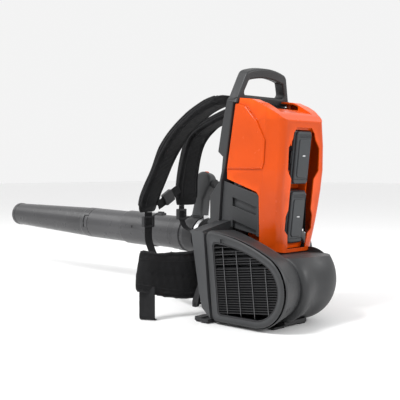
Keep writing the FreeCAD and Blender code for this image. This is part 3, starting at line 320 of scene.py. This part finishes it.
def dress_cad_nodes():
    """Give each CAD node the procedural material of its slot."""
    slots = {row["node"]: row["material_slot"] for row in frame["record"]["subparts"]}
    for name, obj in NODES.items():
        obj.data.materials.clear()
        obj.data.materials.append(MATERIALS[slots[name]])


# ---------------------------------------------------------------- shapes

CURVE_STEPS = 24


def mm(*values):
    return Vector(values) / 1000.0


def spline(points, count):
    """count points, evenly spaced, on a smooth curve through the given points."""
    points = [Vector(p) for p in points]
    full = [points[0] * 2 - points[1]] + points + [points[-1] * 2 - points[-2]]
    fine = []
    for p0, p1, p2, p3 in zip(full, full[1:], full[2:], full[3:]):
        for step in range(CURVE_STEPS):
            t = step / CURVE_STEPS
            a = p1 * 2 + (p2 - p0) * t + (p0 * 2 - p1 * 5 + p2 * 4 - p3) * (t * t)
            fine.append((a + (p1 * 3 - p0 - p2 * 3 + p3) * (t * t * t)) * 0.5)
    fine.append(points[-1])
    reach = [0.0]
    for a, b in zip(fine, fine[1:]):
        reach.append(reach[-1] + (b - a).length)
    out = []
    spot = 0
    for i in range(count):
        goal = reach[-1] * i / (count - 1)
        while spot < len(fine) - 2 and reach[spot + 1] < goal:
            spot += 1
        span = reach[spot + 1] - reach[spot]
        out.append(fine[spot].lerp(fine[spot + 1], (goal - reach[spot]) / span if span else 0))
    return out


def directions(points, widths):
    """Unit vectors along, across and through a strip, at each point."""
    rows = []
    for i, across in enumerate(widths):
        along = points[min(i + 1, len(points) - 1)] - points[max(i - 1, 0)]
        along.normalize()
        through = along.cross(across).normalized()
        rows.append((along, through.cross(along).normalized(), through))
    return rows


def circle(centre, first, second, radius, count):
    """Points round a centre, from the first direction towards the second."""
    ring = []
    for k in range(count):
        turn = 2 * math.pi * k / count
        ring.append(centre + (first * math.cos(turn) + second * math.sin(turn)) * radius)
    return ring


def rounded_end(i, count, least):
    """Share of full size at station i: least at both ends, and full from two stations in."""
    end = min(i, count - 1 - i) / 2.0
    return 1.0 if end >= 1 else least + (1.0 - least) * math.sqrt(end)


def lofted(rings, closed=True):
    """Vertices and faces of a skin over equal rings of points, capped at both ends if closed."""
    size = len(rings[0])
    vertices = [p for ring in rings for p in ring]
    faces = []
    for row in range(len(rings) - 1):
        low, high = row * size, (row + 1) * size
        for i in range(size):
            j = (i + 1) % size
            faces.append((low + i, low + j, high + j, high + i))
    if closed:
        faces.append(tuple(range(size))[::-1])
        faces.append(tuple((len(rings) - 1) * size + i for i in range(size)))
    return vertices, faces


def add_piece(name, skin, slot, body, replaced, material=None):
    """A smooth piece that rides on body, if one is given, and stands for the replaced nodes."""
    vertices, faces = skin
    mesh = bpy.data.meshes.new(name)
    mesh.from_pydata([tuple(v) for v in vertices], [], faces)
    mesh.update()
    mesh.polygons.foreach_set("use_smooth", [True] * len(mesh.polygons))
    mesh.materials.append(material or MATERIALS[slot])
    piece = bpy.data.objects.new(name, mesh)
    bpy.context.scene.collection.objects.link(piece)
    if replaced:
        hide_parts(*replaced)
    if body:
        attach(piece, body)
    return piece


# ---------------------------------------------------------------- padded parts

PAD_STATIONS = 40
PROFILE_COUNT = 40
POWER_ACROSS, POWER_THROUGH = 0.55, 0.8  # of the superellipse
START_WIDTH, START_HEIGHT = 0.97, 0.72  # shares of a pad's size before it swells
END_WIDTH, END_HEIGHT = 0.82, 0.45  # shares of those at a pad's two ends

VOXEL = 0.005
CLOTH_FRAMES = 20
CLOTH_QUALITY = 5
CLOTH_MASS = 0.3
STRETCH_STIFFNESS = 12
BENDING_STIFFNESS = 0.6
PRESSURE = 4.0

CHANNEL_DEPTH = 0.0034
CHANNEL_WIDTH = 0.05  # share of the half width
STITCH_PITCH = 0.011
PUCKER_DEPTH = 0.0007
PUCKER_PITCH = 0.017
LEVEL_LIFT = 0.4  # share of the half height where a binding finds no surface
SPLAY_SHARE = 0.6  # share of a strap over which it splays

BINDINGS = {"a": (-0.9, 0.0026), "b": (0.9, 0.0026), "c": (-0.6, 0.0011), "d": (0.6, 0.0011)}
BINDING_REACH = 0.006  # how far to each side of a binding the pad's surface is measured
BINDING_SIDES = 8

LEFT_STRAP = [(104, 511), (154, 501), (206, 480), (247, 456), (286, 425), (315, 393), (343, 347)]
LEFT_STRAP += [(366, 308), (389, 264), (394, 228)]
RIGHT_STRAP = [(104, 511), (154, 504), (206, 494), (270, 476), (330, 450), (358, 423), (371, 396)]
RIGHT_STRAP += [(383, 355), (391, 314), (394, 262), (393, 242)]
LEFT_WING = [(-124, 159, 97), (-165, 170, 98), (-215, 186, 103), (-252, 198, 110), (-276, 212, 113)]
RIGHT_WING = [(52, 160, 113), (62, 200, 113), (66, 250, 113), (64, 316, 113)]
BACK = [(0, 103.5, 475), (0, 109, 455), (0, 117.5, 412), (0, 124, 372), (0, 124.5, 346)]
BACK += [(0, 121, 333)]
LUMBAR = [(-32, 134, 202), (-32, 139, 160), (-32, 131, 110), (-32, 118, 72)]


def coordinates(piece):
    return np.array([v.co for v in piece.data.vertices])


def nearest_station(co, middle):
    return np.argmin(((co[:, None, :] - middle[None]) ** 2).sum(axis=2), axis=1)


def rounded_profile(half_width, half_height):
    """Points of a superellipse, from +across round through +through."""
    points = []
    for i in range(PROFILE_COUNT):
        turn = 2 * math.pi * i / PROFILE_COUNT
        c, s = math.cos(turn), math.sin(turn)
        x = math.copysign(abs(c) ** POWER_ACROSS, c) * half_width
        points.append((x, math.copysign(abs(s) ** POWER_THROUGH, s) * half_height))
    return points


def swell(piece, cap):
    """Remesh a pad, blow it up as cloth by at most cap, and keep the result as its mesh."""
    remesh = piece.modifiers.new("remesh", "REMESH")
    remesh.mode = "VOXEL"
    remesh.voxel_size = VOXEL
    remesh.use_smooth_shade = True
    bpy.context.view_layer.update()
    material = piece.data.materials[0]
    remeshed = piece.evaluated_get(bpy.context.evaluated_depsgraph_get())
    piece.data = bpy.data.meshes.new_from_object(remeshed)
    piece.modifiers.remove(remesh)
    piece.data.materials.clear()
    piece.data.materials.append(material)
    start = coordinates(piece)
    cloth_mod = piece.modifiers.new("cloth", "CLOTH")
    cloth_mod.settings.quality = CLOTH_QUALITY
    cloth_mod.settings.mass = CLOTH_MASS
    cloth_mod.settings.tension_stiffness = STRETCH_STIFFNESS
    cloth_mod.settings.compression_stiffness = STRETCH_STIFFNESS
    cloth_mod.settings.bending_stiffness = BENDING_STIFFNESS
    cloth_mod.settings.use_pressure = True
    cloth_mod.settings.uniform_pressure_force = PRESSURE
    cloth_mod.settings.effector_weights.gravity = 0
    cloth_mod.point_cache.frame_start = 1
    cloth_mod.point_cache.frame_end = CLOTH_FRAMES
    for frame_number in range(1, CLOTH_FRAMES + 1):
        bpy.context.scene.frame_set(frame_number)
    done = piece.evaluated_get(bpy.context.evaluated_depsgraph_get()).to_mesh()
    move = np.array([v.co for v in done.vertices]) - start
    length = np.linalg.norm(move, axis=1, keepdims=True)
    move *= np.minimum(1.0, cap / np.maximum(length, 1e-9))
    piece.modifiers.remove(cloth_mod)
    piece.data.vertices.foreach_set("co", (start + move).ravel())
    bpy.context.scene.frame_set(1)
    piece.data.update()


def sew(piece, points, frames, halves, channels, half_height):
    """Press sewn channels and small puckers into a pad."""
    co = coordinates(piece)
    middle = np.array(points)
    nearest = nearest_station(co, middle)
    along = np.array([tuple(f[0]) for f in frames])[nearest]
    across = np.array([tuple(f[1]) for f in frames])[nearest]
    through = np.array([tuple(f[2]) for f in frames])[nearest]
    offset = co - middle[nearest]
    v = (offset * across).sum(axis=1) / np.array(halves)[nearest]
    n = (offset * through).sum(axis=1)
    steps = np.linalg.norm(middle[1:] - middle[:-1], axis=1)
    reach = np.concatenate([[0], np.cumsum(steps)])[nearest] + (offset * along).sum(axis=1)
    stitch = 0.8 + 0.2 * np.sin(reach * 2 * math.pi / STITCH_PITCH)
    depth = np.zeros(len(co))
    for channel in channels:
        depth += CHANNEL_DEPTH * np.exp(-(((v - channel) / CHANNEL_WIDTH) ** 2)) * stitch
    pucker = PUCKER_DEPTH * np.sin(reach * 2 * math.pi / PUCKER_PITCH + 3 * v)
    pucker = pucker * np.sin(9 * v + 40 * reach)
    room = np.clip(np.abs(n) / half_height, 0, 1)
    shift = (pucker - depth) * np.sign(n) * room
    piece.data.vertices.foreach_set("co", (co + through * shift[:, None]).ravel())
    piece.data.update()


def bind_edges(name, piece, points, frames, half_height, node):
    """Rolled binding near both long edges of a pad, and finer piping inside it, on both faces."""
    co = coordinates(piece)
    middle = np.array(points)
    nearest = nearest_station(co, middle)
    stations = range(2, len(points) - 2)
    for label, (share, radius) in BINDINGS.items():
        for side, face in ((-1, "_back"), (1, "_front")):
            centres = []
            for i in stations:
                across, through = np.array(frames[i][1]), np.array(frames[i][2])
                local = co[np.abs(nearest - i) <= 1] - middle[i]
                v = local @ across
                n = local @ through * side
                target = share * (v.max() if share > 0 else -v.min())
                near = n[np.abs(v - target) < BINDING_REACH]
                lift = near.max() if len(near) else half_height * LEVEL_LIFT
                centres.append(middle[i] + across * target + through * side * (lift - radius))
            centres = np.array(centres)
            centres[1:-1] = (centres[:-2] + centres[1:-1] * 2 + centres[2:]) / 4
            rings = []
            for centre, i in zip(centres, stations):
                _, across, through = frames[i]
                rings.append(circle(Vector(centre), across, through, radius, BINDING_SIDES))
            full_name = name + "_binding_" + label + face
            add_piece(full_name, lofted(rings), "webbing", "frame", [node])


def padded_strip(name, node, path, across, half_widths, half_height, channels, cap):
    """A pad along a path: swollen, sewn down along its channels, and bound at its edges."""
    points = spline(path, PAD_STATIONS)
    frames = directions(points, spline(across, PAD_STATIONS))
    stops = [Vector((w, i, 0)) for i, w in enumerate(half_widths)]
    halves = [v.x for v in spline(stops, PAD_STATIONS)]
    rings = []
    for i, (point, row, half) in enumerate(zip(points, frames, halves)):
        trim = rounded_end(i, PAD_STATIONS, END_WIDTH)
        flat = rounded_end(i, PAD_STATIONS, END_HEIGHT)
        profile = rounded_profile(half * START_WIDTH * trim, half_height * START_HEIGHT * flat)
        rings.append([point + row[1] * x + row[2] * y for x, y in profile])
    piece = add_piece(name, lofted(rings), "black_fabric", "frame", [node])
    swell(piece, cap)
    sew(piece, points, frames, halves, channels, half_height)
    bind_edges(name, piece, points, frames, half_height, node)
    subdivision = piece.modifiers.new("smooth", "SUBSURF")
    subdivision.levels = 1
    subdivision.render_levels = 1


def side_path(pairs, x, splay):
    """A (y, z) path in mm at one x, and its width directions, which splay towards the end."""
    points = [mm(x, y, z) for y, z in pairs]
    widths = []
    for i in range(len(pairs)):
        turn = math.radians(splay) * min(1.0, i / (len(pairs) * SPLAY_SHARE))
        widths.append(Vector((math.cos(turn), math.sin(turn), 0)))
    return points, widths


def make_pads():
    # Channels are at shares of a pad's half width.
    edges = (-0.66, 0.66)
    three = (-0.72, 0.0, 0.72)
    for side, strap, x, splay, half in (
        ("left", LEFT_STRAP, -72.0, 9.0, 0.040),
        ("right", RIGHT_STRAP, 70.0, -13.0, 0.038),
    ):
        path, across = side_path(strap, x, splay)
        halves = [half] * len(strap)
        name, node = side + "_shoulder_padding", side + "_shoulder_pad"
        padded_strip(name, node, path, across, halves, 0.0095, edges, 0.004)
    back = (-0.4, 0.4)
    lumbar = (-0.5, 0.0, 0.5)
    left_halves = [0.060, 0.063, 0.061, 0.055, 0.051]
    right_halves = [0.049] * 4
    thin = 0.003  # how far a thin pad may swell
    plain = (
        ("left_hip_padding", "left_hip_wing", LEFT_WING, Z_AXIS, left_halves, 0.010, three, 0.005),
        ("right_hip_padding", "right_hip_wing", RIGHT_WING, Z_AXIS, right_halves, 0.007, three, thin),
        ("back_padding", "back_pad", BACK, X_AXIS, [0.071] * 6, 0.0065, back, thin),
        ("lumbar_padding", "lumbar_pad", LUMBAR, X_AXIS, [0.079] * 4, 0.0085, lumbar, 0.004),
    )
    for name, node, path, across, halves, half_height, channels, cap in plain:
        points = [mm(*place) for place in path]
        directions_across = [across] * len(path)
        padded_strip(name, node, points, directions_across, halves, half_height, channels, cap)


# ---------------------------------------------------------------- webbing

RIBBON_STATIONS = 60
RIBBON_HALF_HEIGHT = 0.001
# Half of a ribbon's profile, as shares of its half width and half height: raised selvedges.
SELVEDGES = [(-1, 0.4), (-0.97, 1.0), (-0.86, 1.0), (-0.82, 0.72), (0, 0.8)]
SELVEDGES += [(0.82, 0.72), (0.86, 1.0), (0.97, 1.0), (1, 0.4)]

LEFT_WEBBING = [(392, 232), (392, 200), (388, 150), (345, 95), (255, 50), (170, 30), (118, 25)]
RIGHT_WEBBING = [(391, 246), (391, 212), (377, 187), (340, 178), (250, 173), (157, 172)]
CHEST_WEBBING = [(-40, 391, 248), (-18, 392.5, 258), (18, 393, 280), (40, 391.5, 292)]
HIP_END = (-265, 214, 0)
HIP_ALONG = Vector((19, -36, 0)).normalized()
HIP_OUT = Vector((-36, -19, 0)).normalized()
HIP_HEIGHTS = (78, 50, 26, 10)
HIP_MIDDLE = 0.0205  # from HIP_END along to the middle of the hanging end
LEFT_X, RIGHT_X = -73, 48


def ribbon(name, path, across, width, node):
    """Flat woven webbing along a path, with raised selvedges."""
    points = spline(path, RIBBON_STATIONS)
    frames = directions(points, spline([across] * len(path), RIBBON_STATIONS))
    half = width / 2
    top = [(half * x, y) for x, y in SELVEDGES]
    profile = [(x, y * RIBBON_HALF_HEIGHT) for x, y in top]
    profile += [(x, -y * RIBBON_HALF_HEIGHT) for x, y in top[::-1]]
    rings = [[p + f[1] * x + f[2] * y for x, y in profile] for p, f in zip(points, frames)]
    add_piece(name, lofted(rings), "webbing", "frame", [node])


def make_webbing():
    left = [mm(LEFT_X, y, z) for y, z in LEFT_WEBBING]
    ribbon("left_lower_webbing", left, X_AXIS, 0.025, "lower_webbing")
    right = [mm(RIGHT_X, y, z) for y, z in RIGHT_WEBBING]
    ribbon("right_lower_webbing", right, X_AXIS, 0.019, "lower_webbing")
    chest = [mm(*place) for place in CHEST_WEBBING]
    ribbon("chest_webbing", chest, Z_AXIS, 0.024, "chest_strap")
    middle = mm(*HIP_END) + HIP_ALONG * HIP_MIDDLE
    hang = [middle + mm(0, 0, z) for z in HIP_HEIGHTS]
    hang += [middle + mm(0, 0, 2.6) - HIP_OUT * 0.003, middle + mm(0, 0, 1.4) - HIP_OUT * 0.012]
    ribbon("hip_strap_webbing", hang, HIP_ALONG, 0.038, "hip_webbing")


# ---------------------------------------------------------------- bellows

# Distances along the tube, from the elbow's mouth.
MOUTH_BEHIND_TWIST = 0.760
SLEEVE_START, SLEEVE_END = 0.011, 0.281
FOLDS = 17
ROWS_PER_FOLD = 12
CUFF_ROWS = 14
CUFF_RADIUS = 0.0458
FOLD_LIFT, FOLD_DEPTH, FOLD_POWER = 0.0008, 0.0028, 0.7
SLEEVE_WALL = 0.0016
SLEEVE_SIDES = 72


def make_bellows():
    """Thin corrugated sleeve between the elbow and the tube."""
    mouth = TUBE_POINT - TUBE_DIR * MOUTH_BEHIND_TWIST
    side = TUBE_DIR.cross(Z_AXIS).normalized()
    above = side.cross(TUBE_DIR).normalized()
    rows = FOLDS * ROWS_PER_FOLD
    outer = []
    for row in range(rows + 1):
        share = row / rows
        wave = math.cos(2 * math.pi * FOLDS * share)
        cuff = min(1.0, min(share, 1 - share) * rows / CUFF_ROWS)
        fold = FOLD_LIFT + FOLD_DEPTH * math.copysign(abs(wave) ** FOLD_POWER, wave)
        place = SLEEVE_START + (SLEEVE_END - SLEEVE_START) * share
        outer.append((place, CUFF_RADIUS + cuff * fold))
    inner = [(s, r - SLEEVE_WALL) for s, r in outer[::-1]]
    rings = []
    for s, radius in outer + inner + outer[:1]:
        rings.append(circle(mouth + TUBE_DIR * s, side, above, radius, SLEEVE_SIDES))
    skin = lofted(rings, closed=False)
    piece = add_piece("bellows_sleeve", skin, "black_rubber", None, ["bellows"])
    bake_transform(piece)


# ---------------------------------------------------------------- small details

ROD_STATIONS = 24
ROD_SIDES = 12
ROD_END = 0.35

GRILLE_X = -184.0
GRILLE_RIBS = [(-94.0, 38.0, 138.0), (-55.5, 28.0, 156.0), (-17.0, 27.0, 169.0)]
GRILLE_RIBS += [(21.5, 27.0, 175.0)]
GRILLE_LEAN = math.tan(math.radians(6.2))
GRILLE_LEAN_Z = 100  # height at which a rib's y is stated
RIB_RADIUS = 0.0008
INDICATORS = {"upper_battery": (-53.1, 374.2), "lower_battery": (-37.3, 235.1)}
INDICATOR_HALF = 4.5
INDICATOR_RADIUS = 0.0016


def rod(name, path, across, radius, slot, material, body):
    """A thin round bar with rounded ends."""
    points = spline(path, ROD_STATIONS)
    rings = []
    for i, (point, row) in enumerate(zip(points, directions(points, [across] * ROD_STATIONS))):
        size = radius * rounded_end(i, ROD_STATIONS, ROD_END)
        rings.append(circle(point, row[1], row[2], size, ROD_SIDES))
    add_piece(name, lofted(rings), slot, body, [], material)


def make_details():
    """Pale rods along the intake grille's ribs, a painted highlight of their lit edges, and a plain indicator lens
    on each battery.
    """
    # Painted highlight: pale rods along the grille ribs stand for light catching their edges.
    rib_highlight = moulded("painted_rib_highlight", RIB_HIGHLIGHT_GREY, 0.4)
    lamp = moulded("indicator_lens", LENS_WHITE, 0.2, grain=0.00001)
    for i, (y, low, high) in enumerate(GRILLE_RIBS):
        heights = (low, (low + high) / 2, high)
        path = [mm(GRILLE_X, y + (z - GRILLE_LEAN_Z) * GRILLE_LEAN, z) for z in heights]
        across = Vector((1, 0.001, 0))
        rod("grille_rib_highlight_%d" % i, path, across, RIB_RADIUS, "grey_plastic", rib_highlight, "frame")
    for body, (y, z) in INDICATORS.items():
        path = [mm(x, y, z) for x in (-INDICATOR_HALF, 0, INDICATOR_HALF)]
        rod(body + "_indicator", path, Z_AXIS, INDICATOR_RADIUS, "battery_case", lamp, body)


make_stage()
make_camera()
dress_cad_nodes()
make_details()
make_pads()
make_webbing()
make_bellows()
